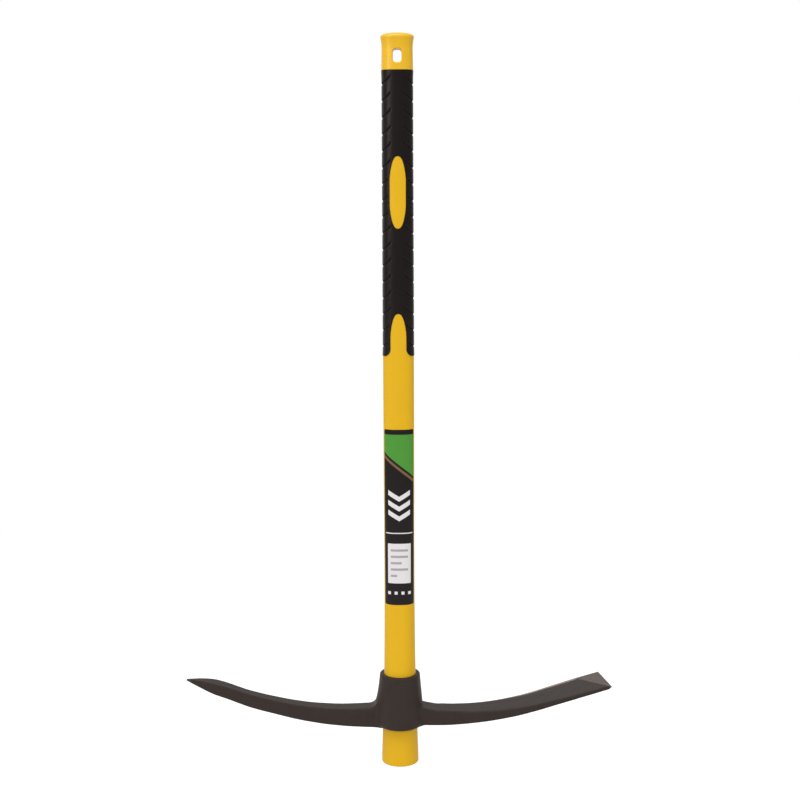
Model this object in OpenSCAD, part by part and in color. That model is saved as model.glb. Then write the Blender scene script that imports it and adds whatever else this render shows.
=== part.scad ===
// Pick axe: forged head with a point and a chisel, on a fibreglass-cored plastic handle with a soft grip.
// Frame: origin at the centre of the butt face, Z up along the handle, point towards -X, chisel towards +X.

/* [Handle] */
// Overall length, butt face to the crown of the end cap
handle_l = 950; // [900:5:1000]
// Diameter of the butt at its lower end
butt_d = 49; // [47:0.5:52]
// Length of butt that stands out below the head
butt_l = 51; // [40:1:60]
// Rounding of the butt's lower edge
butt_edge_r = 1; // [0.5:0.5:5]
// Diameter of the taper seat at the top of the eye
seat_top_d = 42; // [40:0.2:43]
// Width of the oval shank, across the front
shank_w = 39.6; // [37:0.2:41]
// Depth of the oval shank, front to back
shank_t = 30; // [28:0.5:34]
// Length over which the shank goes from round at the eye to oval
flare_l = 200; // [120:5:240]

/* [Core] */
// Diameter of the fibreglass rod
core_d = 20; // [16:0.5:21]
// Thickness of plastic under the rod's lower end
core_floor = 14; // [8:1:25]
// Gap between the rod and the bores round it
core_fit = 0.1; // [0.05:0.05:0.3]

/* [Grip] */
// Length of the grip sleeve
grip_l = 358; // [300:1:380]
// Thickness of the sleeve
grip_t = 2.2; // [1.6:0.1:2.6]
// Swelling of the sleeve's upper and lower lips
grip_lip = 0.35; // [0.1:0.05:0.8]
// Length of each lip
grip_lip_l = 10; // [6:1:16]
// Gap between the sleeve and what it is seated on
grip_fit = 0.05; // [0.05:0.05:0.2]
// Distance between neighbouring chevron grooves
groove_pitch = 20.45; // [18:0.05:26]
// From the top of the sleeve to the first groove, at the side
groove_start = 19.5; // [17:0.5:30]
// Plain border between the grooves and the window or the tongue
groove_border = 2.6; // [1:0.2:4]
// Width of a groove
groove_w = 2.2; // [1:0.1:3]
// Depth of a groove
groove_depth = 0.9; // [0.4:0.1:1.3]
// Height that a groove climbs from the side towards the front
groove_rise = 13.8; // [8:0.2:15]
// Distance from the middle of the front to a groove's inner end
groove_inner_x = 8.4; // [6:0.2:10]
// Width of the window and of the tongue
oval_w = 20.2; // [16:0.1:23]
// Length over which an oval end closes
oval_end_l = 29; // [20:0.5:36]
// Height of the window
window_h = 89.6; // [75:0.2:100]
// From the top of the sleeve to the top of the window
window_gap = 105.5; // [80:0.5:120]
// Height of the tongue above the lower end of the sleeve
tongue_h = 55.5; // [50:0.5:70]
// Rounding of the sleeve's lower inner corners
leg_corner_r = 8; // [3:0.5:8]
// Depth of the window's pad below the sleeve's face
pad_sink = 0.3; // [0.1:0.1:0.8]

/* [End cap] */
// Length of the cap that shows above the sleeve
cap_l = 45.5; // [42:0.5:55]
// Width of the cap's neck
neck_w = 38.7; // [37:0.1:39.4]
// Width of the cap's flared rim
rim_w = 41.9; // [40.4:0.1:44]
// Height of the domed crown above the rim
crown_h = 6; // [4:0.5:9]
// Height of the flare below the rim
rim_flare_h = 14; // [10:0.5:16]
// Length of the spigot inside the sleeve
spigot_l = 24; // [15:1:40]
// Width of the hanging slot
slot_w = 10.8; // [8:0.2:14]
// Height of the hanging slot
slot_h = 16.4; // [12:0.2:17]
// Corner rounding of the hanging slot
slot_corner_r = 3.6; // [2:0.2:3.9]
// Width of the bevel round the slot's mouth
slot_bevel = 1.6; // [0.6:0.1:2]
// From the crown down to the top of the slot
slot_drop = 20; // [17:0.5:22]

/* [Label] */
// Height of the label
label_h = 232.5; // [180:0.5:250]
// Width of the label as seen from the front
label_w = 37.4; // [30:0.2:38]
// From the label's upper edge to the sleeve
label_gap = 93.5; // [80:0.5:110]
// Thickness of the label film
label_t = 0.25; // [0.15:0.05:0.5]
// Corner rounding of the label
label_corner_r = 2; // [1:0.5:6]
// Gap between the film and the shank
label_fit = 0.02; // [0.01:0.01:0.1]

/* [Eye boss] */
// Height of the eye
eye_h = 71.5; // [60:0.5:80]
// Gap between the eye and the taper seat
eye_fit = 0.1; // [0.05:0.05:0.3]
// Outside diameter of the boss at its upper rim
boss_top_d = 53.4; // [50:0.2:57]
// Outside diameter of the boss low down, between the arms
boss_low_d = 64.5; // [61:0.5:68]
// Rounding of the boss's lower edge
boss_edge_r = 6; // [3:0.5:10]
// Rounding of the boss's upper rim
boss_rim_r = 1.2; // [0.6:0.2:2.4]

/* [Arms] */
// Height of the arms' middle line above the underside of the eye
arm_mid_h = 12.8; // [11:0.2:16]
// Level length of each arm, from the handle's axis
arm_level_l = 60; // [50:1:70]
// Radius of the arms' bend
arm_bend_r = 410; // [340:5:520]
// Angle of the straight outer part of each arm
arm_angle = 17.6; // [10:0.2:22]

/* [Pick arm] */
// Reach of the point from the handle's axis
pick_reach = 284; // [250:1:310]
// Depth of the pick arm at its root, front to back
pick_root_w = 25.2; // [20:0.2:28]
// Height of the pick arm at its root
pick_root_h = 28.4; // [22:0.2:30]
// Depth of the pick arm at its neck
pick_neck_w = 18.4; // [14:0.2:20]
// Height of the pick arm at its neck
pick_neck_h = 18.4; // [13:0.2:20]
// Depth of the pick arm at the shoulder of its point
point_w = 18.6; // [15:0.2:22]
// Height of the pick arm at the shoulder of its point
point_h = 15.6; // [10:0.2:18]
// Length of the ground point
point_l = 40; // [28:1:50]
// Length of the swelling between neck and point
point_swell_l = 35; // [20:1:50]
// Rise of the point's middle line, halfway along swelling and point
point_lift = 0.6; // [0:0.1:3]
// Width of the blunted tip
tip_w = 2; // [1:0.2:4]
// Fillet from the boss to the top of the pick arm
pick_top_fillet = 14; // [6:0.5:18]
// Fillet from the boss to the sides of the pick arm
pick_side_fillet = 7; // [3:0.5:20]

/* [Chisel arm] */
// Reach of the middle of the cutting edge from the handle's axis
chisel_reach = 273; // [245:1:300]
// How much further the front corner of the edge reaches than the rear one
edge_skew = 9; // [0:0.5:12]
// Depth of the chisel arm at its root, front to back
chisel_root_w = 30.5; // [24:0.5:34]
// Height of the chisel arm at its root
chisel_root_h = 21.2; // [16:0.2:24]
// Width of the cutting edge
edge_w = 64; // [50:0.5:70]
// Thickness of the blade behind its bevel
blade_t = 4.8; // [3.6:0.2:7]
// Thickness of the cutting edge
edge_t = 1.4; // [0.8:0.1:2]
// Height of the cutting edge above the middle of the blade
edge_lift = 0.6; // [0:0.1:1]
// Length of the bevel behind the middle of the cutting edge
edge_bevel_l = 18; // [8:0.5:24]
// How much longer the bevel is at the rear corner than at the front one
bevel_skew = 30; // [0:0.5:32]
// Fillet from the boss to the top of the chisel arm
chisel_top_fillet = 13; // [6:0.5:16]
// Fillet from the boss to the sides of the chisel arm
chisel_side_fillet = 7; // [3:0.5:20]

/* [Hidden] */
$fn = 96;
// Overrun of cuts
over = 1;
// Overlap of pieces joined into one solid
join_l = 2;

// Points round one section
handle_points = 48;
arm_points = 32;
// Sections along each stretch
flare_rings = 9;
crown_rings = 7;
rim_rings = 5;
fillet_rings = 9;
body_rings = 9;
point_rings = 5;
arc_steps = 8;
oval_steps = 12;

// Squareness of sections: 2 is an ellipse, more is squarer
round_power = 2;
shank_power = 2.5;
arm_power = 8;
// Fullness of the tapers
flare_w_power = 3;
flare_t_power = 2;
crown_power = 2.7;
oval_power = 1.4;
oval_blunt_power = 2.5;
pick_w_power = 1.3;
pick_h_power = 1.5;
point_power = 1.3;
blade_power = 1.4;
// Share of the side fillets' circle that stays clear of the boss's face
boss_sink_share = 0.985;
// Largest lean of the ground facet, as a share of twice its length
bevel_lean_share = 0.9;
// Width of the flat in the middle of the crown, as a share of the rim
crown_flat_share = 0.05;

// Heights along the handle
eye_base_z = butt_l;
eye_top_z = butt_l + eye_h;
cap_base_z = handle_l - cap_l;
grip_base_z = cap_base_z - grip_l;
spigot_z = cap_base_z - spigot_l;
rim_z = handle_l - crown_h;
slot_z = handle_l - slot_drop - slot_h / 2;
label_top_z = grip_base_z - label_gap;
label_base_z = label_top_z - label_h;
window_top_z = cap_base_z - window_gap;
arm_z = eye_base_z + arm_mid_h;
core_top_z = cap_base_z;
groove_count = floor((grip_l - groove_start - grip_lip_l) / groove_pitch) + 1;

function sgn(v) = v < 0 ? -1 : 1;
function clamp01(v) = min(1, max(0, v));
function smooth(v) = v * v * (3 - 2 * v);

// One closed section in the XY plane at height z
function oval_ring(w, t, power, z, count) = [
    for (i = [0 : count - 1])
        let (a = 360 * i / count)
        [
            w / 2 * sgn(cos(a)) * pow(abs(cos(a)), 2 / power),
            t / 2 * sgn(sin(a)) * pow(abs(sin(a)), 2 / power),
            z
        ]
];

// Solid through a row of sections with equal point counts
module loft(rings) {
    k = len(rings[0]);
    m = len(rings);
    sides = [
        for (i = [0 : m - 2], j = [0 : k - 1])
            let (a = i * k + j, b = i * k + (j + 1) % k)
            each [[a, a + k, b + k], [a, b + k, b]]
    ];
    polyhedron(
        points = [for (r = rings) each r],
        faces = concat(sides, [[for (j = [0 : k - 1]) j], [for (j = [k - 1 : -1 : 0]) (m - 1) * k + j]])
    );
}

// Handle section: round at the eye, oval above
function flare_mix(z) = clamp01(1 - (z - eye_top_z) / flare_l);
function handle_w(z) = shank_w + (seat_top_d - shank_w) * pow(flare_mix(z), flare_w_power);
function handle_t(z) = shank_t + (seat_top_d - shank_t) * pow(flare_mix(z), flare_t_power);
function handle_power(z) = shank_power + (round_power - shank_power) * pow(flare_mix(z), flare_t_power);
function handle_ring(z, grow) =
    oval_ring(handle_w(z) + 2 * grow, handle_t(z) + 2 * grow, handle_power(z), z, handle_points);
function flare_heights() = [for (i = [0 : flare_rings]) eye_top_z + flare_l * i / flare_rings];

// Sleeve lips swell at both ends
function lip_grow(z) = grip_lip * (
    smooth(clamp01(1 - (z - grip_base_z) / grip_lip_l)) +
    smooth(clamp01(1 - (cap_base_z - z) / grip_lip_l)));
function grip_heights() = concat(
    [for (i = [0 : 3]) grip_base_z + grip_lip_l * i / 3],
    [for (i = [3 : -1 : 0]) cap_base_z - grip_lip_l * i / 3]);

// Seat under the sleeve, from z0 to z1
module sleeve_seat(z0, z1, grow) {
    loft([handle_ring(z0, grow - grip_t), handle_ring(z1, grow - grip_t)]);
}

// Half of a blunt oval's width at distance d from its full width
function oval_half(d, w) =
    w / 2 * pow(max(0, 1 - pow(clamp01(d / oval_end_l), oval_power)), 1 / oval_blunt_power);

// Outline of the window between two heights
module window_outline(grow) {
    w = oval_w + 2 * grow;
    z1 = window_top_z + grow;
    z0 = window_top_z - window_h - grow;
    right = concat(
        [for (i = [0 : oval_steps])
            let (d = oval_end_l * sin(90 * (1 - i / oval_steps)))
            [oval_half(d, w), z0 + oval_end_l - d]],
        [for (i = [0 : oval_steps])
            let (d = oval_end_l * sin(90 * i / oval_steps))
            [oval_half(d, w), z1 - oval_end_l + d]]);
    polygon(concat(
        [for (i = [1 : len(right) - 1]) right[i]],
        [for (i = [len(right) - 2 : -1 : 0]) [-right[i][0], right[i][1]]]));
}

// Outline of the tongue, with the sleeve's rounded leg corners at its foot
module tongue_outline(grow) {
    w = oval_w + 2 * grow;
    z1 = grip_base_z + tongue_h + grow;
    r = leg_corner_r - grow;
    foot = [for (i = [0 : arc_steps])
        let (a = 90 * i / arc_steps)
        [w / 2 + r - r * sin(a), grip_base_z + grow + r - r * cos(a)]];
    tip = [for (i = [0 : oval_steps])
        let (d = oval_end_l * sin(90 * i / oval_steps))
        [oval_half(d, w), z1 - oval_end_l + d]];
    base = [[w / 2 + r, grip_base_z - over]];
    right = concat(base, foot, tip);
    polygon(concat(right, [for (i = [len(right) - 2 : -1 : 0]) [-right[i][0], right[i][1]]]));
}

// Prism through the handle, front to back
module through(depth) {
    rotate([90, 0, 0])
        linear_extrude(height = depth, center = true)
            children();
}

// Chevron grooves: one straight cut a side serves the front and the back
module groove_cuts() {
    run = shank_w / 2 - groove_inner_x;
    reach = run + groove_w;
    length = norm([reach, groove_rise * reach / run]);
    difference() {
        for (i = [0 : groove_count - 1], side = [-1, 1])
            translate([side * groove_inner_x, 0, cap_base_z - groove_start - groove_pitch * i + groove_rise])
                rotate([0, side > 0 ? atan2(groove_rise, run) : 180 - atan2(groove_rise, run), 0])
                    translate([0, -shank_t, -groove_w / 2])
                        cube([length, 2 * shank_t, groove_w]);
        loft([
            handle_ring(grip_base_z - over, -groove_depth),
            handle_ring(cap_base_z + over, -groove_depth)]);
        through(2 * shank_t + over) window_outline(groove_border);
        through(2 * shank_t + over) tongue_outline(groove_border);
    }
}

// Half-width of the boss at arm level
boss_r = boss_sink_share * boss_low_d / 2;

// Middle line of both arms, at distance x from the handle's axis
function arm_rise(x) =
    let (d = max(0, x - arm_level_l), turn = arm_bend_r * sin(arm_angle))
    d < turn
        ? arm_bend_r - sqrt(arm_bend_r * arm_bend_r - d * d)
        : arm_bend_r * (1 - cos(arm_angle)) + (d - turn) * tan(arm_angle);

// Depth of an arm near the boss: its side runs into the boss's circle on a fillet
function side_run(half, fillet) = sqrt(max(0, pow(boss_r + fillet, 2) - pow(half + fillet, 2)));
function side_start(half, fillet) = side_run(half, fillet) * boss_r / (boss_r + fillet);
function side_half(x, half, fillet) =
    let (d = side_run(half, fillet) - max(x, side_start(half, fillet)))
    d <= 0 ? half : half + fillet - sqrt(fillet * fillet - d * d);

// Rise of an arm's top where it meets the boss
function top_fillet(x, fillet) =
    let (d = clamp01((boss_r + fillet - x) / fillet))
    fillet - fillet * sqrt(1 - d * d);

// One arm section round the middle line; the top is crowned towards the boss
function arm_ring(dir, x, lift, w, h, crown, skew) = [
    for (p = oval_ring(w, h, arm_power, 0, arm_points))
        let (
            cy = 1 - pow(clamp01(abs(p[0]) / (w / 2)), 2),
            rise = p[1] > 0 ? crown * cy * p[1] / (h / 2) : 0,
            reach = x - skew * p[0] / w)
        [dir * reach, p[0] * dir, arm_z + arm_rise(reach) + lift + p[1] + rise]
];

// Pick arm: depth and height at distance x
pick_neck_x = pick_reach - point_l - point_swell_l;
point_x = pick_reach - point_l;
pick_root_x = boss_low_d / 2;
function pick_share(x) = clamp01((x - pick_root_x) / (pick_neck_x - pick_root_x));
function point_taper(x) = 1 - pow(clamp01((x - point_x) / point_l), point_power);
function pick_w(x) =
    x < pick_neck_x ? pick_neck_w + (pick_root_w - pick_neck_w) * pow(1 - pick_share(x), pick_w_power)
    : x < point_x ? pick_neck_w + (point_w - pick_neck_w) * smooth((x - pick_neck_x) / point_swell_l)
    : tip_w + (point_w - tip_w) * point_taper(x);
function pick_h(x) =
    x < pick_neck_x ? pick_neck_h + (pick_root_h - pick_neck_h) * pow(1 - pick_share(x), pick_h_power)
    : x < point_x ? pick_neck_h + (point_h - pick_neck_h) * (x - pick_neck_x) / point_swell_l
    : tip_w + (point_h - tip_w) * point_taper(x);
function point_rise(x) = point_lift * sin(180 * clamp01((x - pick_neck_x) / (pick_reach - pick_neck_x)));
pick_fillet_x = max(boss_r + pick_top_fillet, side_run(pick_root_w / 2, pick_side_fillet));
pick_start_x = side_start(pick_root_w / 2, pick_side_fillet);
function pick_places() = concat(
    [-join_l],
    [for (i = [0 : fillet_rings]) pick_start_x + (pick_fillet_x - pick_start_x) * i / fillet_rings],
    [for (i = [1 : body_rings]) pick_fillet_x + (pick_neck_x - pick_fillet_x) * i / body_rings],
    [for (i = [1 : point_rings]) pick_neck_x + point_swell_l * i / point_rings],
    [for (i = [1 : point_rings]) point_x + point_l * i / point_rings]);

// Chisel arm: depth and height at distance x
bevel_x = chisel_reach - edge_bevel_l;
chisel_fillet_x = max(boss_r + chisel_top_fillet, side_run(chisel_root_w / 2, chisel_side_fillet));
chisel_start_x = side_start(chisel_root_w / 2, chisel_side_fillet);
function chisel_share(x) = clamp01((x - arm_level_l) / (bevel_x - arm_level_l));
function chisel_w(x) =
    let (s = chisel_share(x)) chisel_root_w + (edge_w - chisel_root_w) * (s + smooth(s)) / 2;
function chisel_h(x) =
    x < bevel_x ? blade_t + (chisel_root_h - blade_t) * pow(1 - chisel_share(x), blade_power)
    : blade_t + (edge_t - blade_t) * (x - bevel_x) / edge_bevel_l;
function chisel_lift(x) = edge_lift * clamp01((x - bevel_x) / edge_bevel_l);
bevel_lean = min(bevel_skew, 2 * bevel_lean_share * edge_bevel_l);
function chisel_skew(x) =
    x < bevel_x ? (edge_skew + bevel_lean) * pow(chisel_share(x), 4)
    : edge_skew + bevel_lean * (chisel_reach - x) / edge_bevel_l;
function chisel_places() = concat(
    [-join_l],
    [for (i = [0 : fillet_rings]) chisel_start_x + (chisel_fillet_x - chisel_start_x) * i / fillet_rings],
    [for (i = [1 : body_rings]) chisel_fillet_x + (bevel_x - chisel_fillet_x) * i / body_rings],
    [bevel_x + edge_bevel_l / 2, chisel_reach]);

// Diameter of the taper at height z
function seat_d(z) = butt_d + (seat_top_d - butt_d) * z / eye_top_z;

module pick_arm() {
    loft([for (x = pick_places()) arm_ring(-1, x, point_rise(x),
        2 * side_half(x, pick_w(x) / 2, pick_side_fillet), pick_h(x),
        top_fillet(x, pick_top_fillet), 0)]);
}

module chisel_arm() {
    loft([for (x = chisel_places()) arm_ring(1, x, chisel_lift(x),
        2 * side_half(x, chisel_w(x) / 2, chisel_side_fillet), chisel_h(x),
        top_fillet(x, chisel_top_fillet), chisel_skew(x))]);
}

module eye_boss() {
    low = boss_low_d / 2;
    top = boss_top_d / 2;
    lower_edge = [for (i = [0 : arc_steps])
        let (a = 90 * i / arc_steps)
        [low - boss_edge_r + boss_edge_r * sin(a), boss_edge_r - boss_edge_r * cos(a)]];
    upper_rim = [for (i = [0 : arc_steps])
        let (a = 90 * i / arc_steps)
        [top - boss_rim_r + boss_rim_r * cos(a), eye_h - boss_rim_r + boss_rim_r * sin(a)]];
    translate([0, 0, eye_base_z])
        rotate_extrude()
            polygon(concat([[0, 0]], lower_edge, upper_rim, [[0, eye_h]]));
}

// Steel head: boss and arms in one forging, with the tapered eye through it
module pick_head() {
    color("dimgray")
        difference() {
            union() {
                eye_boss();
                pick_arm();
                chisel_arm();
            }
            translate([0, 0, eye_base_z - over])
                cylinder(
                    d1 = seat_d(eye_base_z - over) + 2 * eye_fit,
                    d2 = seat_d(eye_top_z + over) + 2 * eye_fit,
                    h = eye_h + 2 * over);
        }
}

// Yellow jacket: butt and taper seat, oval shank, and the tongues and pads that show through the sleeve
module handle_jacket() {
    edge = [for (i = [0 : arc_steps])
        let (a = 90 * i / arc_steps)
        [butt_d / 2 - butt_edge_r + butt_edge_r * sin(a), butt_edge_r - butt_edge_r * cos(a)]];
    color("gold")
        difference() {
            union() {
                rotate_extrude()
                    polygon(concat([[0, 0]], edge, [[seat_top_d / 2, eye_top_z], [0, eye_top_z]]));
                difference() {
                    loft([for (z = concat([eye_top_z - join_l], flare_heights(), [spigot_z])) handle_ring(z, 0)]);
                    difference() {
                        translate([-shank_w, -shank_w, grip_base_z])
                            cube([2 * shank_w, 2 * shank_w, grip_l]);
                        sleeve_seat(grip_base_z - over, cap_base_z + over, 0);
                        through(2 * shank_t) tongue_outline(0);
                        intersection() {
                            loft([handle_ring(grip_base_z - over, -pad_sink), handle_ring(cap_base_z, -pad_sink)]);
                            through(2 * shank_t) window_outline(0);
                        }
                    }
                }
            }
            translate([0, 0, core_floor])
                cylinder(d = core_d + 2 * core_fit, h = handle_l);
        }
}

// Fibreglass rod inside the jacket and the cap
module fibreglass_core() {
    color("wheat")
        translate([0, 0, core_floor])
            cylinder(d = core_d, h = core_top_z - core_floor);
}

// Soft sleeve with windows, legs and chevron grooves
module grip_sleeve() {
    color([0.13, 0.12, 0.12])
        difference() {
            loft([for (z = grip_heights()) handle_ring(z, lip_grow(z))]);
            sleeve_seat(grip_base_z - over, cap_base_z + over, grip_fit);
            through(2 * shank_t) window_outline(grip_fit);
            through(2 * shank_t) tongue_outline(grip_fit);
            groove_cuts();
        }
}

// Width of the end cap at height z
flare_z = rim_z - rim_flare_h;
function cap_w(z) =
    z < flare_z ? shank_w + (neck_w - shank_w) * (z - cap_base_z) / (flare_z - cap_base_z)
    : neck_w + (rim_w - neck_w) * pow((z - flare_z) / rim_flare_h, 2);
function cap_ring(w, z) = oval_ring(w, w * shank_t / shank_w, shank_power, z, handle_points);

module slot_outline() {
    w = slot_w / 2 - slot_corner_r;
    h = slot_h / 2 - slot_corner_r;
    square([slot_w, 2 * h], center = true);
    square([2 * w, slot_h], center = true);
    for (x = [-w, w], z = [-h, h])
        translate([x, z])
            circle(r = slot_corner_r);
}

// Outline of the slot as a ring at depth y
function slot_ring(grow, y) = [
    for (c = [[1, 1, 0], [-1, 1, 90], [-1, -1, 180], [1, -1, 270]], i = [0 : arc_steps])
        let (a = c[2] + 90 * i / arc_steps, r = slot_corner_r + grow)
        [
            c[0] * (slot_w / 2 - slot_corner_r) + r * cos(a),
            y,
            slot_z + c[1] * (slot_h / 2 - slot_corner_r) + r * sin(a)
        ]
];
function slot_face_y() = cap_w(slot_z) * shank_t / shank_w / 2;

// Bevelled mouth of the slot on one face
module slot_mouth() {
    loft([
        slot_ring(-over, -slot_face_y() + slot_bevel + over),
        slot_ring(slot_bevel + over, -slot_face_y() - over)]);
}

// Yellow end cap: flared rim, domed crown, hanging slot and a spigot on the rod
module end_cap() {
    color("gold")
        difference() {
            union() {
                loft(concat(
                    [cap_ring(cap_w(cap_base_z), cap_base_z), cap_ring(cap_w(flare_z), flare_z)],
                    [for (i = [1 : rim_rings])
                        let (z = flare_z + rim_flare_h * i / rim_rings) cap_ring(cap_w(z), z)],
                    [for (i = [1 : crown_rings])
                        let (
                            s = sin(90 * i / (crown_rings + 1)),
                            w = rim_w * sqrt(1 - pow(s, crown_power)))
                        cap_ring(w, rim_z + crown_h * s)],
                    [cap_ring(rim_w * crown_flat_share, handle_l)]));
                sleeve_seat(spigot_z, cap_base_z + join_l, 0);
            }
            translate([0, 0, slot_z])
                through(2 * shank_t) slot_outline();
            slot_mouth();
            rotate([0, 0, 180])
                slot_mouth();
            translate([0, 0, spigot_z - over])
                cylinder(d = core_d + 2 * core_fit, h = core_top_z - spigot_z + over + core_fit);
        }
}

// Sticker film on the front of the shank
module label() {
    color("darkslategray")
        intersection() {
            difference() {
                loft([for (z = concat(flare_heights(), [grip_base_z])) handle_ring(z, label_fit + label_t)]);
                loft([for (z = concat([eye_top_z - over], flare_heights(), [grip_base_z + over])) handle_ring(z, label_fit)]);
            }
            translate([0, -shank_t, (label_base_z + label_top_z) / 2])
                through(2 * shank_t)
                    union() {
                        square([label_w - 2 * label_corner_r, label_h], center = true);
                        square([label_w, label_h - 2 * label_corner_r], center = true);
                        for (x = [-1, 1], z = [-1, 1])
                            translate([x * (label_w / 2 - label_corner_r), z * (label_h / 2 - label_corner_r)])
                                circle(r = label_corner_r);
                    }
        }
}

pick_head();
handle_jacket();
fibreglass_core();
grip_sleeve();
end_cap();
label();
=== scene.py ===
"""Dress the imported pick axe: forged head, moulded handle, ribbed grip, end cap, label and studio stage."""

import functools
import math

import bpy
from mathutils import Euler, Matrix, Vector, noise


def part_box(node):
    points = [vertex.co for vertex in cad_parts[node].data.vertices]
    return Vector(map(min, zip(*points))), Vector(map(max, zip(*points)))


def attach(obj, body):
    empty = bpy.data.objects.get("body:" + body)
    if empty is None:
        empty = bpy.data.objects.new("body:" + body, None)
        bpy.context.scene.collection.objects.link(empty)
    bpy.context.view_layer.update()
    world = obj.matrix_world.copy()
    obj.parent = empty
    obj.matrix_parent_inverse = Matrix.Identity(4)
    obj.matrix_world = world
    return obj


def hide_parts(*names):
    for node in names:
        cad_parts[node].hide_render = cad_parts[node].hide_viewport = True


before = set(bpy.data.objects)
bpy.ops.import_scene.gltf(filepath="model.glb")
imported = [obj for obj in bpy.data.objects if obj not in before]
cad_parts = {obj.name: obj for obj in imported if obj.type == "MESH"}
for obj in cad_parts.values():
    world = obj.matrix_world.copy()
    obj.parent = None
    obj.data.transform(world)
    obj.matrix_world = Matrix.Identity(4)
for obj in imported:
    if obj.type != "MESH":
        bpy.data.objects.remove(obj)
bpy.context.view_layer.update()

bl_info = {
    "name": "Pick axe",
    "version": (1, 0, 0),
    "blender": (4, 5, 0),
    "location": "View3D > Sidebar > Pick axe",
    "description": "Builds the visible pieces of a digging pick over its packed solids",
    "category": "Object",
}


# Settings that a user would change


def length(name, text, default):
    """One size in metres."""
    return bpy.props.FloatProperty(
        name=name, description=text, default=default, min=0.0, precision=5, unit="LENGTH"
    )


def angle(name, text, default):
    """One angle, given in degrees."""
    return bpy.props.FloatProperty(
        name=name, description=text, default=math.radians(default), unit="ROTATION"
    )


def amount(name, text, default):
    """One plain number."""
    return bpy.props.FloatProperty(name=name, description=text, default=default, min=0.0)


def colour(name, text, red, green, blue):
    """One colour, given in 8-bit screen values and kept as linear light."""
    linear = []
    for value in (red, green, blue):
        v = value / 255
        linear.append(v / 12.92 if v <= 0.04045 else ((v + 0.055) / 1.055) ** 2.4)
    return bpy.props.FloatVectorProperty(
        name=name, description=text, default=linear, size=3, min=0.0, max=1.0, subtype="COLOR"
    )


class PickHandleSizes(bpy.types.PropertyGroup):
    """Butt, taper and oval shank."""

    butt_d: length("Butt diameter", "Diameter of the butt at its lower end", 0.049)
    butt_edge_r: length("Butt rounding", "Rounding of the butt's lower edge", 0.001)
    eye_base: length("Eye underside", "Height of the underside of the head's eye", 0.051)
    eye_top: length("Eye top", "Height of the upper rim of the head's eye", 0.1225)
    seat_top_d: length("Seat diameter", "Diameter of the taper at the top of the eye", 0.042)
    shank_w: length("Shank width", "Width of the oval shank, across the front", 0.0396)
    shank_t: length("Shank depth", "Depth of the oval shank, front to back", 0.030)
    flare_l: length("Flare length", "Length over which round turns to oval", 0.200)
    core_d: length("Core bore", "Diameter of the bore for the rod", 0.0202)
    core_floor: length("Core floor", "Plastic under the rod's lower end", 0.014)
    squareness: amount("Squareness", "2 is an ellipse, more is squarer", 2.5)


# Rise of the sleeve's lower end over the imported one
SLEEVE_LIFT = 0.0011


class PickGripSizes(bpy.types.PropertyGroup):
    """Soft sleeve with its openings and chevron grooves."""

    base: length("Lower end", "Height of the sleeve's lower end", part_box("grip_sleeve")[0].z + SLEEVE_LIFT)
    top: length("Upper end", "Height of the sleeve's upper end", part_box("grip_sleeve")[1].z)
    thick: length("Thickness", "Thickness of the sleeve", 0.0022)
    lip: length("Lip", "Swelling of the sleeve's ends", 0.00035)
    lip_l: length("Lip length", "Length of each swelling", 0.010)
    swell: length("Swelling", "Extra half width of the sleeve's lower end", 0.0004)
    end_r: length("End rounding", "Rounding of the sleeve's end edges", 0.0005)
    pitch: length("Groove pitch", "Distance between neighbouring grooves", 0.02045)
    start: length("First groove", "From the top to the first groove, at the side", 0.0179)
    groove_w: length("Groove width", "Width of a groove", 0.0022)
    groove_depth: length("Groove depth", "Depth of a groove", 0.0009)
    groove_rise: length("Groove rise", "Climb of a groove from side to front", 0.0105)
    inner_x: length("Groove inner end", "From the middle of the front to a groove's end", 0.0084)
    border: length("Border", "Plain border round the window and the tongue", 0.0026)
    oval_w: length("Oval width", "Width of the window and the tongue", 0.0202)
    oval_end_l: length("Oval end", "Length over which an oval end closes", 0.029)
    oval_power: amount("Oval fullness", "Fullness of the oval ends along the handle", 1.4)
    oval_blunt: amount("Oval bluntness", "Fullness of the oval ends across the handle", 2.5)
    window_top: length("Window top", "Height of the top of the window", 0.799)
    window_h: length("Window height", "Height of the window", 0.0896)
    tongue_h: length("Tongue height", "Height of the tongue above the sleeve's end", 0.0544)
    corner_r: length("Leg corner", "Rounding of the sleeve's lower inner corners", 0.0094)
    pad_sink: length("Pad depth", "Depth of the window's pad below the sleeve", 0.0003)


class PickCapSizes(bpy.types.PropertyGroup):
    """End cap with its hanging slot."""

    base: length("Lower end", "Height of the joint with the sleeve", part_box("grip_sleeve")[1].z)
    top: length("Crown", "Height of the crown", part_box("end_cap")[1].z)
    spigot: length("Spigot", "Height of the spigot's lower end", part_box("end_cap")[0].z)
    neck_w: length("Neck width", "Width of the neck below the rim", 0.0387)
    rim_w: length("Rim width", "Width of the flared rim", 0.0419)
    crown_h: length("Crown height", "Height of the domed crown above the rim", 0.006)
    crown_power: amount("Crown fullness", "2 is an ellipse, more has a flatter top", 2.7)
    flare_h: length("Flare height", "Height of the flare below the rim", 0.014)
    slot_w: length("Slot width", "Width of the hanging slot", 0.0108)
    slot_h: length("Slot height", "Height of the hanging slot", 0.0164)
    slot_corner_r: length("Slot corner", "Corner rounding of the slot", 0.0036)
    mouth_r: length("Slot mouth", "Rounding of the slot's mouth", 0.0016)
    slot_drop: length("Slot drop", "From the crown down to the slot", 0.020)


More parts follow.
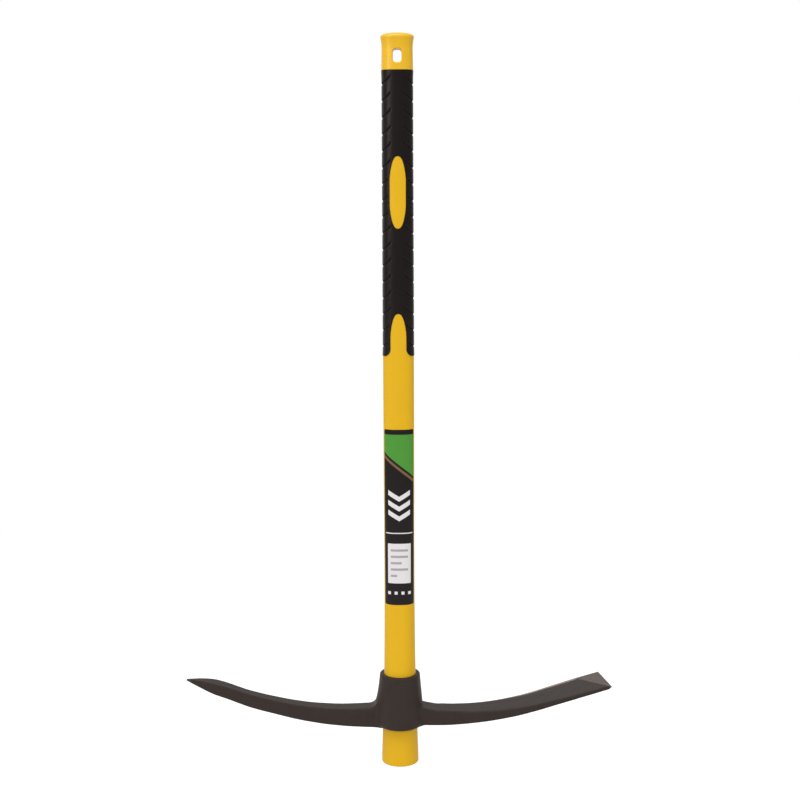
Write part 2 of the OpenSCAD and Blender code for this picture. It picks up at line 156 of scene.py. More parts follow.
class PickLabelSizes(bpy.types.PropertyGroup):
    """Sticker on the front of the shank."""

    base: length("Lower edge", "Height of the lower edge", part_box("label")[0].z)
    top: length("Upper edge", "Height of the upper edge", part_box("label")[1].z)
    width: length("Width", "Width as seen from the front", 0.0374)
    corner_r: length("Corner", "Corner rounding", 0.002)
    fit: length("Gap", "Gap between film and shank", 0.00002)
    film: length("Film", "Thickness of the film", 0.00025)


class PickHeadSizes(bpy.types.PropertyGroup):
    """Forged head: eye boss, pointed arm and chisel arm."""

    boss_top_d: length("Boss top", "Diameter of the boss at its rim", 0.0534)
    boss_low_d: length("Boss foot", "Diameter of the boss between the arms", 0.0645)
    boss_edge_r: length("Boss foot rounding", "Rounding of the boss's lower edge", 0.006)
    boss_rim_r: length("Boss rim rounding", "Rounding of the boss's rim", 0.0012)
    eye_fit: length("Eye gap", "Gap between eye and handle", 0.0001)
    arm_mid_h: length("Arm height", "Middle of the arms above the eye's underside", 0.0128)
    arm_level_l: length("Level length", "Level length of each arm", 0.060)
    arm_bend_r: length("Bend radius", "Radius of the arms' bend", 0.410)
    arm_angle: angle("Arm angle", "Slope of the outer part of each arm", 17.6)
    arm_start: amount("Arm start", "Where the arms leave the boss, as a share of its radius", 0.985)
    chisel_start: amount("Chisel start", "Where the chisel's rise ends, as a share of that radius", 0.915)
    arm_square: amount("Arm squareness", "2 is an ellipse, more has sharper corners", 13.0)
    pick_reach: length("Point reach", "Reach of the point from the handle's axis", 0.284)
    pick_root_w: length("Pick root depth", "Depth of the pick arm at its root", 0.0266)
    pick_root_h: length("Pick root height", "Height of the pick arm at its root", 0.0269)
    pick_neck_w: length("Pick neck depth", "Depth of the pick arm at its neck", 0.0188)
    pick_neck_h: length("Pick neck height", "Height of the pick arm at its neck", 0.0177)
    point_w: length("Shoulder depth", "Depth at the shoulder of the point", 0.0210)
    point_h: length("Shoulder height", "Height at the shoulder of the point", 0.0152)
    point_l: length("Point length", "Length of the ground point", 0.040)
    swell_l: length("Swelling length", "Length between neck and point", 0.044)
    point_lift: length("Point lift", "Rise of the point's middle line", 0.0006)
    tip_drop: length("Tip drop", "Drop of the middle line at the tip", 0.0012)
    neck_sag: length("Neck sag", "Drop of the middle line at the neck", 0.0014)
    neck_sag_l: length("Neck sag length", "Length of that drop on either side", 0.038)
    root_sag: length("Root sag", "Drop of the middle line at the root", 0.0004)
    tip_w: length("Tip width", "Width of the blunted tip", 0.002)
    boss_flare: length("Boss flare", "Swelling of the boss towards the pick arm", 0.0042)
    pick_top_l: length("Pick rise length", "Length of the fillet from boss to arm top", 0.011)
    pick_top_h: length("Pick rise", "Height of the fillet from boss to arm top", 0.0078)
    pick_side_fillet: length("Pick side fillet", "Fillet from boss to arm sides", 0.007)
    chisel_reach: length("Edge reach", "Reach of the middle of the edge", 0.273)
    edge_skew: length("Edge skew", "Extra reach of the edge's front corner", 0.009)
    chisel_root_w: length("Chisel root depth", "Depth of the chisel arm at its root", 0.0305)
    chisel_root_h: length("Chisel root height", "Height of the chisel arm at its root", 0.0204)
    edge_w: length("Edge width", "Width of the cutting edge", 0.064)
    blade_t: length("Blade thickness", "Thickness behind the bevel", 0.0048)
    edge_t: length("Edge thickness", "Thickness of the cutting edge", 0.0014)
    edge_lift: length("Edge lift", "Height of the edge above the blade's middle", 0.0006)
    bevel_l: length("Bevel length", "Length of the bevel behind the middle of the edge", 0.018)
    bevel_skew: length("Bevel skew", "Extra length of the bevel at the rear corner", 0.030)
    chisel_top_l: length("Chisel rise length", "Length over which the arm's top rises to the boss", 0.020)
    chisel_top_h: length("Chisel rise", "Rise of the arm's top at the boss", 0.0044)
    chisel_foot_l: length("Chisel foot length", "Length over which the underside falls to the boss", 0.004)
    chisel_foot_h: length("Chisel foot", "Fall of the arm's underside at the boss", 0.0014)
    chisel_side_fillet: length("Chisel side fillet", "Fillet from boss to arm sides", 0.007)
    skin_cell: length("Skin cell", "Cell size of the forged skin", 0.0009)
    hammer_h: length("Unevenness", "Height of the forged unevenness", 0.00014)


class PickFinishes(bpy.types.PropertyGroup):
    """Colours of the finishes."""

    lacquer: colour("Lacquer", "Dark lacquer on the forged head", 54, 47, 43)
    ground: colour("Ground steel", "Thin lacquer on ground edges", 93, 83, 79)
    # Painted highlight: a light colour laid along the blade's rear edge in place of its reflection
    rubbed: colour("Rubbed arris", "Lacquer rubbed light along the blade's rear edge", 140, 128, 120)
    yellow: colour("Yellow", "Yellow handle plastic", 224, 175, 31)
    rubber: colour("Rubber", "Black grip rubber", 19, 16, 16)
    resin: colour("Resin", "Rod of glass fibre and resin", 204, 188, 140)
    charcoal: colour("Label ground", "Ground colour of the label", 33, 29, 29)
    leaf: colour("Label green", "Green of the label", 78, 146, 58)
    earth: colour("Label brown", "Brown of the label", 122, 92, 66)
    pale: colour("Label pale", "Pale ink of the label", 222, 218, 219)


class PickStageSettings(bpy.types.PropertyGroup):
    """Camera and lamps."""

    distance: length("Camera distance", "From the camera to its aim", 1.8056)
    aim_x: length("Aim offset", "Sideways offset of the camera's aim", 0.0017)
    aim_z: length("Aim height", "Height of the camera's aim", 0.4894)
    tilt: angle("Camera tilt", "How far the camera looks down", 9.0)
    roll: angle("Camera roll", "How far the camera is turned about its axis", 0.25)
    lens: amount("Lens", "Focal length in millimetres on a 36 mm frame", 63.0)
    floor_r: length("Floor radius", "Radius of the pale floor", 1.5)
    key: amount("Key lamp", "Power of the soft box on the left", 18.0)
    fill: amount("Fill lamp", "Power of the soft box on the right", 11.0)
    top: amount("Top lamp", "Power of the soft box overhead", 114.0)
    room: amount("Room light", "Strength of the light from all round", 0.5)


class PickSettings(bpy.types.PropertyGroup):
    """All settings of the pick axe."""

    handle: bpy.props.PointerProperty(type=PickHandleSizes)
    grip: bpy.props.PointerProperty(type=PickGripSizes)
    cap: bpy.props.PointerProperty(type=PickCapSizes)
    label: bpy.props.PointerProperty(type=PickLabelSizes)
    head: bpy.props.PointerProperty(type=PickHeadSizes)
    finish: bpy.props.PointerProperty(type=PickFinishes)
    stage: bpy.props.PointerProperty(type=PickStageSettings)


def settings():
    """The settings kept on the scene."""
    return bpy.context.scene.pick_axe


# Meshes

# Points round a section
ROUND = 144
# How far a cutting tool runs past the face that it cuts
OVER = 0.002
# How far a tool round the handle stands off the surface
PROUD = 0.004
# Half length of a tool that goes through the handle
THROUGH = 0.03


def clamp01(v):
    """v held between 0 and 1."""
    return min(1.0, max(0.0, v))


def smooth(v):
    """Soft step from 0 to 1."""
    return v * v * (3 - 2 * v)


def spread(low, high, count):
    """Even steps from low to high, both included."""
    return [low + (high - low) * i / count for i in range(count + 1)]


def quarter(steps):
    """Sine and cosine over a quarter turn."""
    return [(math.sin(a), math.cos(a)) for a in spread(0.0, math.pi / 2, steps)]


def oval(w, t, power, z, count=ROUND):
    """Closed section at height z, anticlockwise from +X."""
    ring = []
    for i in range(count):
        c = math.cos(math.tau * i / count)
        s = math.sin(math.tau * i / count)
        reach = (abs(c) ** power + abs(s) ** power) ** (-1 / power)
        ring.append((w / 2 * c * reach, t / 2 * s * reach, z))
    return ring


def new_object(name, verts, faces):
    """A plain mesh object at the origin."""
    mesh = bpy.data.meshes.new(name)
    mesh.from_pydata(verts, [], faces)
    mesh.update()
    piece = bpy.data.objects.new(name, mesh)
    bpy.context.scene.collection.objects.link(piece)
    return piece


def skin(rings):
    """Points and faces of a closed skin through rings of equal count."""
    k = len(rings[0])
    m = len(rings)
    verts = [p for ring in rings for p in ring]
    faces = []
    for i in range(m - 1):
        for j in range(k):
            a = i * k + j
            b = i * k + (j + 1) % k
            faces.append((a, b, b + k, a + k))
    faces.append(tuple(range(k - 1, -1, -1)))
    faces.append(tuple(range((m - 1) * k, m * k)))
    return verts, faces


def loft(name, *solids):
    """One object of closed skins, each through its own rings."""
    verts = []
    faces = []
    for rings in solids:
        more, sides = skin(rings)
        shift = len(verts)
        verts += more
        faces += [tuple(i + shift for i in side) for side in sides]
    return new_object(name, verts, faces)


def prism(name, outline):
    """Outline in XZ, anticlockwise seen from the front, run through the handle along Y."""
    return loft(name, [[(x, y, z) for x, z in outline] for y in (THROUGH, -THROUGH)])


def bake(piece):
    """Replace the mesh by what the modifiers make of it."""
    graph = bpy.context.evaluated_depsgraph_get()
    mesh = bpy.data.meshes.new_from_object(piece.evaluated_get(graph))
    piece.modifiers.clear()
    old = piece.data
    piece.data = mesh
    bpy.data.meshes.remove(old)


def combine(piece, tool, operation="DIFFERENCE"):
    """Cut, join or intersect a piece with a tool, and remove the tool."""
    step = piece.modifiers.new("combine", "BOOLEAN")
    step.operation = operation
    step.solver = "MANIFOLD"
    step.object = tool
    bake(piece)
    bpy.data.objects.remove(tool)
    if not piece.data.polygons:
        raise RuntimeError(f"{piece.name} has no faces left")


def shade(piece, degrees):
    """Smooth shading, with edges sharper than this kept sharp."""
    piece.data.shade_smooth()
    piece.data.set_sharp_from_angle(angle=math.radians(degrees))


def finish_piece(piece, slot, material, *nodes):
    """Give a piece its material and body, and hide the solids that it stands for; slot is not used."""
    piece.data.materials.clear()
    piece.data.materials.append(material)
    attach(piece, "root")
    if nodes:
        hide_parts(*nodes)


# Nodes


def feed(tree, slot, value):
    """Link a field or a socket to an input, or set a plain value there."""
    if isinstance(value, Field):
        value = value.socket
    if isinstance(value, bpy.types.NodeSocket):
        tree.links.new(value, slot)
    elif slot.type == "RGBA":
        slot.default_value = (*value, 1.0)
    else:
        slot.default_value = value


def add_node(tree, kind, feeds=None, **values):
    """A node with its plain settings and what its inputs get."""
    node = tree.nodes.new(kind)
    for name, value in values.items():
        setattr(node, name, value)
    for slot, value in (feeds or {}).items():
        feed(tree, node.inputs[slot], value)
    return node


class Field:
    """A node socket that can be used in plain sums."""

    def __init__(self, tree, socket):
        self.tree = tree
        self.socket = socket

    def math(self, operation, *others):
        """One math node with this socket as its first input."""
        terms = dict(enumerate((self, *others)))
        node = add_node(self.tree, "ShaderNodeMath", terms, operation=operation)
        return Field(self.tree, node.outputs[0])

    def __add__(self, other):
        return self.math("ADD", other)

    def __sub__(self, other):
        return self.math("SUBTRACT", other)

    def __rsub__(self, other):
        return self.math("MULTIPLY_ADD", -1.0, other)

    def __mul__(self, other):
        return self.math("MULTIPLY", other)

    def __truediv__(self, other):
        return self.math("DIVIDE", other)

    def __pow__(self, other):
        return self.math("POWER", other)

    def __abs__(self):
        return self.math("ABSOLUTE")

    __radd__ = __add__
    __rmul__ = __mul__

    def least(self, other):
        """The smaller of two values."""
        return self.math("MINIMUM", other)

    def most(self, other):
        """The larger of two values."""
        return self.math("MAXIMUM", other)

    def clamp(self):
        """Held between 0 and 1."""
        return self.most(0.0).least(1.0)

    def step(self, low, high):
        """Soft step from 0 at low to 1 at high."""
        ends = {"Value": self, "From Min": low, "From Max": high}
        node = add_node(self.tree, "ShaderNodeMapRange", ends, interpolation_type="SMOOTHSTEP")
        return Field(self.tree, node.outputs["Result"])


def group_inputs(tree, sizes):
    """Named number inputs of a tree, as fields."""
    for name, value in sizes.items():
        kind = "NodeSocketInt" if isinstance(value, int) else "NodeSocketFloat"
        tree.interface.new_socket(name, in_out="INPUT", socket_type=kind).default_value = value
    source = tree.nodes.new("NodeGroupInput")
    return {name: Field(tree, source.outputs[name]) for name in sizes}, source


# Shared material effects


def grain_group():
    """Blotches of tint, a spread of roughness and a fine grain, in object space."""
    name = "surface_grain"
    if name in bpy.data.node_groups:
        return bpy.data.node_groups[name]
    tree = bpy.data.node_groups.new(name, "ShaderNodeTree")
    tree.interface.new_socket("Colour", in_out="INPUT", socket_type="NodeSocketColor")
    sizes = {"Tint": 0.1, "Blotch scale": 60.0, "Grain scale": 1200.0, "Roughness": 0.5, "Spread": 0.08}
    f, source = group_inputs(tree, sizes)
    for label, kind in (("Colour", "Color"), ("Roughness", "Float"), ("Height", "Float")):
        tree.interface.new_socket(label, in_out="OUTPUT", socket_type="NodeSocket" + kind)
    place = tree.nodes.new("ShaderNodeTexCoord").outputs["Object"]
    clouds = []
    for scale, detail in (("Blotch scale", 4.0), ("Grain scale", 2.0)):
        cloud = add_node(tree, "ShaderNodeTexNoise", {"Vector": place, "Scale": f[scale], "Detail": detail})
        clouds.append(Field(tree, cloud.outputs["Fac"]))
    patch, pore = clouds
    value = 1.0 + (patch * 0.75 + pore * 0.25 - 0.5) * f["Tint"] * 2.0
    tinted = {0: source.outputs["Colour"], "Scale": value}
    tinted = add_node(tree, "ShaderNodeVectorMath", tinted, operation="SCALE")
    rough = f["Roughness"] + (patch * 0.5 + pore * 0.5 - 0.5) * f["Spread"] * 2.0
    results = {"Colour": tinted.outputs[0], "Roughness": rough.clamp(), "Height": pore * 0.6 + patch * 0.4}
    add_node(tree, "NodeGroupOutput", results)
    return tree


class Finish:
    """A material under construction: its tree, its shader and shortcuts."""

    def __init__(self, name):
        self.material = bpy.data.materials.new(name)
        self.material.use_nodes = True
        self.tree = self.material.node_tree
        self.shader = self.tree.nodes["Principled BSDF"]

    def place(self):
        """Object coordinates as three fields."""
        spot = self.tree.nodes.new("ShaderNodeTexCoord").outputs["Object"]
        split = add_node(self.tree, "ShaderNodeSeparateXYZ", {0: spot})
        return [Field(self.tree, out) for out in split.outputs]

    def noise(self, scale, detail=3.0, stretch=(1.0, 1.0, 1.0)):
        """Noise in object space, stretched along the axes."""
        spot = self.tree.nodes.new("ShaderNodeTexCoord").outputs["Object"]
        spot = add_node(self.tree, "ShaderNodeMapping", {"Vector": spot, "Scale": stretch}).outputs[0]
        cloud = {"Vector": spot, "Scale": scale, "Detail": detail}
        return Field(self.tree, add_node(self.tree, "ShaderNodeTexNoise", cloud).outputs["Fac"])

    def mix(self, share, low, high):
        """Blend of two colours, each a socket or a plain colour."""
        return add_node(self.tree, "ShaderNodeMix", {0: share, 6: low, 7: high}, data_type="RGBA").outputs[2]

    def grain(self, base, tint, blotch, fine, rough, vary):
        """The shared grain with this finish's own values."""
        values = {"Colour": base, "Tint": tint, "Blotch scale": blotch, "Grain scale": fine}
        values.update({"Roughness": rough, "Spread": vary})
        node = add_node(self.tree, "ShaderNodeGroup", values, node_tree=grain_group())
        feed(self.tree, self.shader.inputs["Base Color"], node.outputs["Colour"])
        feed(self.tree, self.shader.inputs["Roughness"], node.outputs["Roughness"])
        return Field(self.tree, node.outputs["Height"])

    def plain(self, **values):
        """Set the shader's sockets that are the same all over, with _ for a space in their names."""
        for name, value in values.items():
            self.shader.inputs[name.replace("_", " ")].default_value = value

    def bump(self, height, strength, distance):
        """Surface relief from a height field."""
        values = {"Strength": strength, "Distance": distance, "Height": height}
        node = add_node(self.tree, "ShaderNodeBump", values)
        feed(self.tree, self.shader.inputs["Normal"], node.outputs["Normal"])


def forged_steel():
    """Dark lacquer over forged scale, thinner on the ground edge and point, with a painted highlight along
    the blade's rear edge.
    """
    s = settings()
    finish = Finish("forged_steel")
    h = s.head
    x, y, _ = finish.place()
    ragged = finish.noise(scale=90.0, detail=5.0) - 0.5
    # Ground bevel, behind a slanted line
    edge_x = h.chisel_reach - h.bevel_l
    lean = (h.edge_skew + h.bevel_skew) / h.edge_w
    soft = 0.0006
    edge = (x + y * lean + ragged * 0.002).step(edge_x - soft, edge_x + soft)
    # Painted highlight: a lighter strip along the rear edge of the blade's outer half, standing in for that
    # edge's reflection
    share = ((x - h.arm_level_l) / (edge_x - h.arm_level_l)).clamp()
    side = h.chisel_root_w / 2 + share * ((h.edge_w - h.chisel_root_w) / 2)
    rubbed = (y - side + ragged * 0.003).step(-0.007, -0.003) * share.step(0.4, 0.56)
    # Point, worn on its outer third
    point_x = h.pick_reach - h.point_l * 0.35
    point = (-1.0 * x + ragged * 0.02).step(point_x, h.pick_reach) * 0.45
    bare = edge.most(point)
    streak = finish.noise(scale=240.0, stretch=(0.12, 1.0, 1.0))
    base = finish.mix((bare * (0.55 + streak * 0.6)).clamp(), s.finish.lacquer, s.finish.ground)
    # Mix in the painted highlight along the rear edge, kept off the ground bevel
    base = finish.mix(rubbed * (1.0 - edge), base, s.finish.rubbed)
    height = finish.grain(base, tint=0.2, blotch=85.0, fine=900.0, rough=0.48 - bare * 0.06, vary=0.1)
    finish.bump(height, strength=0.35, distance=0.0004)
    finish.plain(Specular_IOR_Level=0.1, Specular_Tint=(1.0, 0.76, 0.7, 1.0))
    return finish.material


def yellow_plastic(name, gloss, light):
    """Satin moulded plastic with a faint flow along the handle; light above 1 paints light into a brighter
    copy of it.
    """
    s = settings()
    finish = Finish(name)
    flow = finish.noise(scale=70.0, stretch=(1.0, 1.0, 0.08))
    # Painted light: light scales the yellow, so a copy of the same plastic can be painted brighter
    bright = [v * light for v in s.finish.yellow]
    base = finish.mix(flow, [v * 0.96 for v in bright], bright)
    rough = 0.5 - gloss * 0.4
    height = finish.grain(base, tint=0.04, blotch=40.0, fine=1600.0, rough=rough, vary=0.06)
    finish.bump(height, strength=0.12, distance=0.0002)
    finish.plain(Specular_IOR_Level=gloss)
    return finish.material


def grip_rubber():
    """Matt soft rubber with a fine moulded grain, and painted shade darkening it down in the grooves."""
    s = settings()
    finish = Finish("soft_grip")
    note = add_node(finish.tree, "ShaderNodeAttribute", attribute_name="groove")
    # Painted shade in the grooves: the dark starts low on a groove's sides
    gain = 2.5
    groove_shade = (Field(finish.tree, note.outputs["Fac"]) * gain).clamp()
    # Painted shade: the rubber's colour falls to a fifth of itself in the grooves, which are also rougher
    base = finish.mix(groove_shade * 0.85, s.finish.rubber, [v * 0.2 for v in s.finish.rubber])
    rough = 0.37 + groove_shade * 0.5
    height = finish.grain(base, tint=0.22, blotch=70.0, fine=1400.0, rough=rough, vary=0.08)
    finish.bump(height, strength=0.25, distance=0.0003)
    finish.plain(Specular_IOR_Level=0.3, Specular_Tint=(1.0, 0.86, 0.83, 1.0))
    finish.plain(Sheen_Weight=0.06, Sheen_Tint=(1.0, 0.82, 0.78, 1.0))
    return finish.material


def fibre_rod():
    """Pale resin with glass fibres along the rod."""
    s = settings()
    finish = Finish("fibreglass")
    strand = finish.noise(scale=900.0, detail=4.0, stretch=(1.0, 1.0, 0.02))
    base = finish.mix(strand, [v * 0.7 for v in s.finish.resin], s.finish.resin)
    height = finish.grain(base, tint=0.08, blotch=50.0, fine=1000.0, rough=0.42, vary=0.08)
    finish.bump(height * 0.4 + strand * 0.6, strength=0.3, distance=0.0002)
    return finish.material


# The label's print, in metres from its middle line and its lower edge: left, right, low, high
PRINT_FIELD = (-0.0235, 0.0235, 0.0065, 0.226)
PRINT_SLOPE = 0.8
GREEN_LOW = 0.1865
BROWN_STRIPE = (0.179, 0.183)
CHEVRON_FIELD = (-0.0145, 0.0145, 0.10, 0.17)
CHEVRON_SLOPE = 0.6
CHEVRONS = (0.112, 0.125, 0.138)
CHEVRON_H = 0.0065
PALE_BOXES = (
    (-0.0155, 0.0155, 0.029, 0.082),
    (-0.0185, 0.0185, 0.0952, 0.0966),
    *((middle - 0.002, middle + 0.002, 0.014, 0.018) for middle in (-0.0135, -0.0045, 0.0045, 0.0135)),
)
GREY_BARS = ((0.0115, 0.0715), (0.0115, 0.063), (0.003, 0.0545), (0.0115, 0.046), (-0.003, 0.0375))
GREY_BAR_LEFT = -0.0115
GREY_BAR_H = 0.003


def label_film():
    """Printed film: charcoal ground with plain green, brown and pale shapes."""
    s = settings()
    finish = Finish("label_film")
    tree = finish.tree
    spot = add_node(tree, "ShaderNodeUVMap", uv_map="print").outputs["UV"]
    split = add_node(tree, "ShaderNodeSeparateXYZ", {0: spot})
    u, v, _ = [Field(tree, out) for out in split.outputs]
    soft = 0.0003

    def band(field, low, high):
        """Mask of a stripe between two values of a field."""
        return field.step(low - soft, low + soft) * (1.0 - field.step(high - soft, high + soft))

    def panel(left, right, low, high):
        """Mask of an upright rectangle."""
        return band(u, left, right) * band(v, low, high)

    slant = v + u * PRINT_SLOPE
    inside = panel(*PRINT_FIELD)
    green = slant.step(GREEN_LOW - soft, GREEN_LOW + soft) * inside
    earth = band(slant, *BROWN_STRIPE) * inside
    point = v - abs(u) * CHEVRON_SLOPE
    chevrons = functools.reduce(Field.most, [band(point, low, low + CHEVRON_H) for low in CHEVRONS])
    pale = [chevrons * panel(*CHEVRON_FIELD)] + [panel(*box) for box in PALE_BOXES]
    pale = functools.reduce(Field.most, pale)
    bars = [panel(GREY_BAR_LEFT, right, low, low + GREY_BAR_H) for right, low in GREY_BARS]
    grey = functools.reduce(Field.most, bars)
    base = finish.mix(green, s.finish.charcoal, s.finish.leaf)
    base = finish.mix(earth, base, s.finish.earth)
    base = finish.mix(pale, base, s.finish.pale)
    base = finish.mix(grey * 0.5, base, s.finish.charcoal)
    height = finish.grain(base, tint=0.06, blotch=50.0, fine=1500.0, rough=0.32, vary=0.05)
    finish.bump(height, strength=0.06, distance=0.0001)
    finish.plain(Specular_IOR_Level=0.12)
    return finish.material


# Handle shape


def handle_size(z, grow):
    """Width, depth and squareness of the handle at height z, grown by a margin."""
    h = settings().handle
    mix = clamp01(1 - (z - h.eye_top) / h.flare_l)
    w = h.shank_w + (h.seat_top_d - h.shank_w) * mix**3
    t = h.shank_t + (h.seat_top_d - h.shank_t) * mix**2
    return w + 2 * grow, t + 2 * grow, h.squareness + (2 - h.squareness) * mix**2


def handle_section(z, grow):
    """Section of the handle at height z, grown by a margin."""
    return oval(*handle_size(z, grow), z)


def front_face(x, z, grow):
    """Depth of the handle's front at one spot."""
    w, t, power = handle_size(z, grow)
    return -t / 2 * max(0.0, 1 - (2 * abs(x) / w) ** power) ** (1 / power)


def oval_end(w, tip, way):
    """Right half of a blunt oval end, from its full width to its tip; way is 1 upwards and -1 downwards."""
    g = settings().grip
    points = []
    for rise, _ in quarter(32):
        half = w / 2 * (1 - rise**g.oval_power) ** (1 / g.oval_blunt)
        points.append((half, tip - way * g.oval_end_l * (1 - rise)))
    return points


def window_outline(grow):
    """Outline of the window in the front view."""
    g = settings().grip
    w = g.oval_w + 2 * grow
    lower = oval_end(w, g.window_top - g.window_h - grow, -1)
    right = lower[::-1] + oval_end(w, g.window_top + grow, 1)
    return right + [(-x, z) for x, z in reversed(right[1:-1])]


def tongue_outline(grow):
    """Outline of the tongue, with the sleeve's rounded leg corners at its foot."""
    g = settings().grip
    w = g.oval_w + 2 * grow
    r = g.corner_r - grow
    right = [(w / 2 + r, g.base - OVER)]
    right += [(w / 2 + r * (1 - sin), g.base + grow + r * (1 - cos)) for sin, cos in quarter(16)]
    right += oval_end(w, g.base + g.tongue_h + grow, 1)
    return right + [(-x, z) for x, z in reversed(right[:-1])]


def openings(name, grow):
    """Window and tongue prisms as one tool."""
    tool = prism(name, window_outline(grow))
    combine(tool, prism(name + "_tongue", tongue_outline(grow)), "UNION")
    return tool


def sleeve_tube(name, depth, low, high):
    """Tube round the handle between two levels, from a depth in it to well outside."""
    tube = loft(name, [handle_section(z, PROUD) for z in spread(low, high, 30)])
    hole = loft(name + "_hole", [handle_section(z, -depth) for z in spread(low - OVER, high + OVER, 30)])
    combine(tube, hole)
    return tube


def bore(name, low, high):
    """Round tool for the rod."""
    d = settings().handle.core_d
    return loft(name, [oval(d, d, 2, z, 64) for z in (low, high)])


class PICKAXE_OT_handle(bpy.types.Operator):
    """Make the yellow handle with its butt, tongues and window pads."""

    bl_idname = "pickaxe.handle"
    bl_label = "Handle"

    def execute(self, context):
        s = settings()
        h = s.handle
        g = s.grip
        rings = []
        for sin, cos in quarter(8):
            d = h.butt_d - 2 * h.butt_edge_r * (1 - sin)
            rings.append(oval(d, d, 2, h.butt_edge_r * (1 - cos)))
        for z in spread(h.butt_edge_r, h.eye_top, 20)[1:-1]:
            share = (z - h.butt_edge_r) / (h.eye_top - h.butt_edge_r)
            d = h.butt_d + (h.seat_top_d - h.butt_d) * share
            rings.append(oval(d, d, 2, z))
        rings += [handle_section(z, 0) for z in spread(h.eye_top, h.eye_top + h.flare_l, 48)]
        rings += [handle_section(z, 0) for z in spread(h.eye_top + h.flare_l, s.cap.spigot, 90)[1:]]
        piece = loft("handle_shell", rings)
        room = sleeve_tube("sleeve_room", g.thick, g.base, s.cap.spigot + OVER)
        combine(room, openings("left_standing", 0.0))
        combine(piece, room)
        sunk = sleeve_tube("pad_room", g.pad_sink, g.base + g.tongue_h, s.cap.spigot)
        combine(sunk, prism("pad_shape", window_outline(OVER)), "INTERSECT")
        combine(piece, sunk)
        combine(piece, bore("rod_bore", h.core_floor, s.cap.spigot + OVER))
        shade(piece, 35)
        material = yellow_plastic("handle_plastic", gloss=0.12, light=1.0)
        finish_piece(piece, "yellow_plastic", material, "handle_jacket")
        return {"FINISHED"}


class PICKAXE_OT_core(bpy.types.Operator):
    """Give the rod inside the handle its fibre finish."""

    bl_idname = "pickaxe.core"
    bl_label = "Core"

    def execute(self, context):
        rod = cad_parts["fibreglass_core"]
        material = fibre_rod()
        for place in rod.material_slots:
            place.material = material
        return {"FINISHED"}


# Grip

# How strongly the rows crowd together at a groove
CROWD = 0.75
# A groove's sides, as shares of its half width, and the slopes at its inner end and at the windows' border
GROOVE_SIDE = (0.72, 1.18)
INNER_SLOPE = (-0.0003, 0.0006)
BORDER_SLOPE = (-0.0002, 0.0006)


